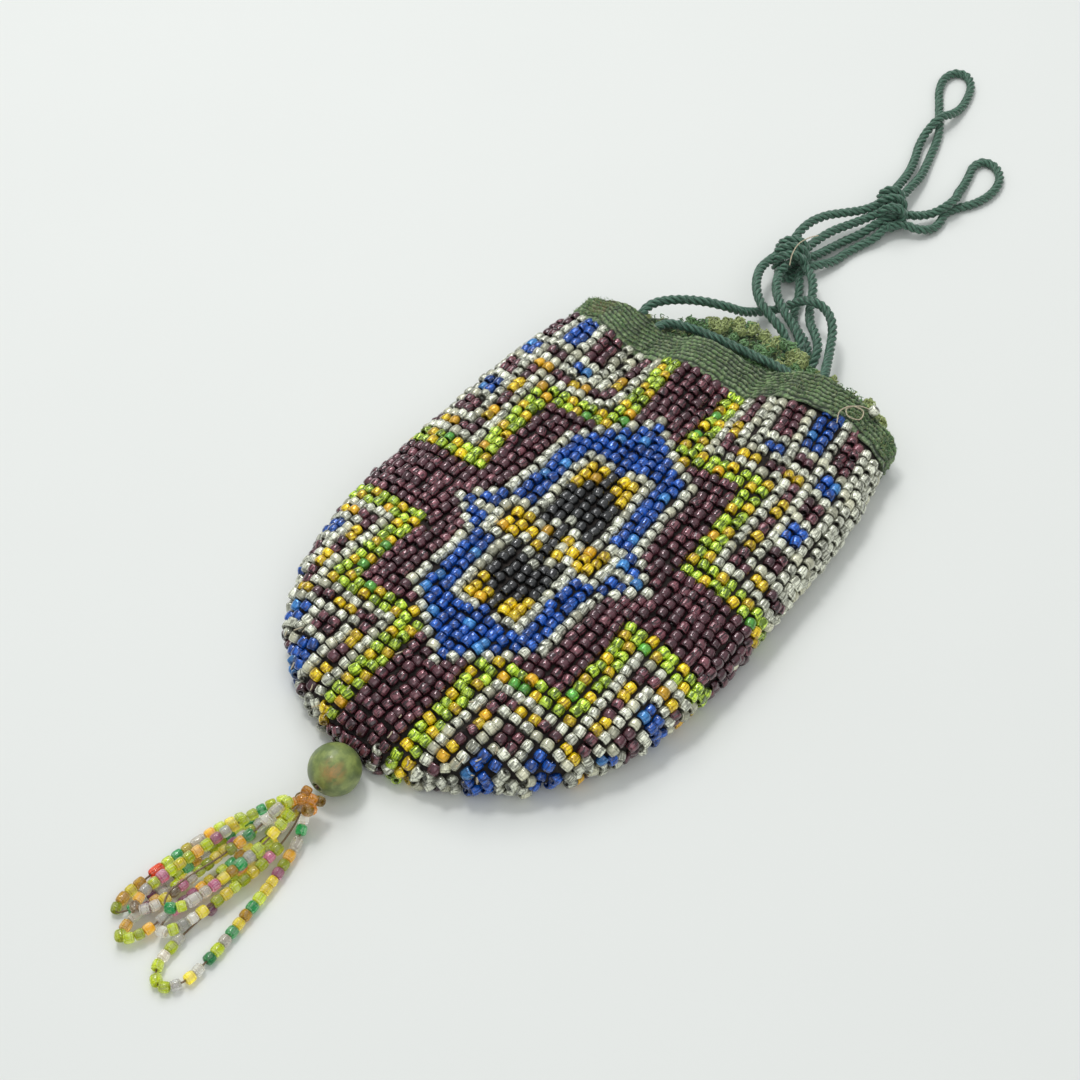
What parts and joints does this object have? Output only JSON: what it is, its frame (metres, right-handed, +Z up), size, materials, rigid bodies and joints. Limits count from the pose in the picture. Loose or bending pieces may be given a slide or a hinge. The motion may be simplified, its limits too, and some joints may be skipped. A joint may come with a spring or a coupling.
{
  "type": "beaded flapper purse",
  "caption": "Small soft pouch of seed beads with a ribbed cloth band and doubled drawcords at its mouth, and a wooden bead and bead tassel at its tip.",
  "frame": {"origin": "on the flat back that the purse lies on, under the middle of the medallion on its front", "axes": "+X across the front to its right, +Y from the tassel towards the mouth and the cords, +Z up, out of the front"},
  "size_m": [0.081, 0.288, 0.015],
  "materials": {
    "seed_beads": "glossy glass seed beads in purple, silver, blue, lime, gold and black",
    "band_cloth": "ribbed matte cloth",
    "cord": "twisted dark green cord with a soft sheen",
    "wood": "satin sage green stain, worn",
    "thread": "matte brown thread",
    "tassel_beads": "clear and coloured glass seed beads"
  },
  "bodies": {
    "root": {"beaded_bag": "seed_beads", "mouth_band": "band_cloth", "wooden_bead": "wood", "tassel_thread": "thread", "tassel": "tassel_beads", "lower_knot": "cord", "upper_knot": "cord", "drawcord_mouth": "cord", "drawcord_left": "cord", "drawcord_far_1": "cord", "drawcord_far_2": "cord", "drawcord_far_3": "cord", "drawcord_far_4": "cord", "drawcord_far_5": "cord", "drawcord_near_1": "cord", "drawcord_near_2": "cord", "drawcord_near_3": "cord", "drawcord_near_4": "cord", "drawcord_near_5": "cord"}
  },
  "joints": []
}
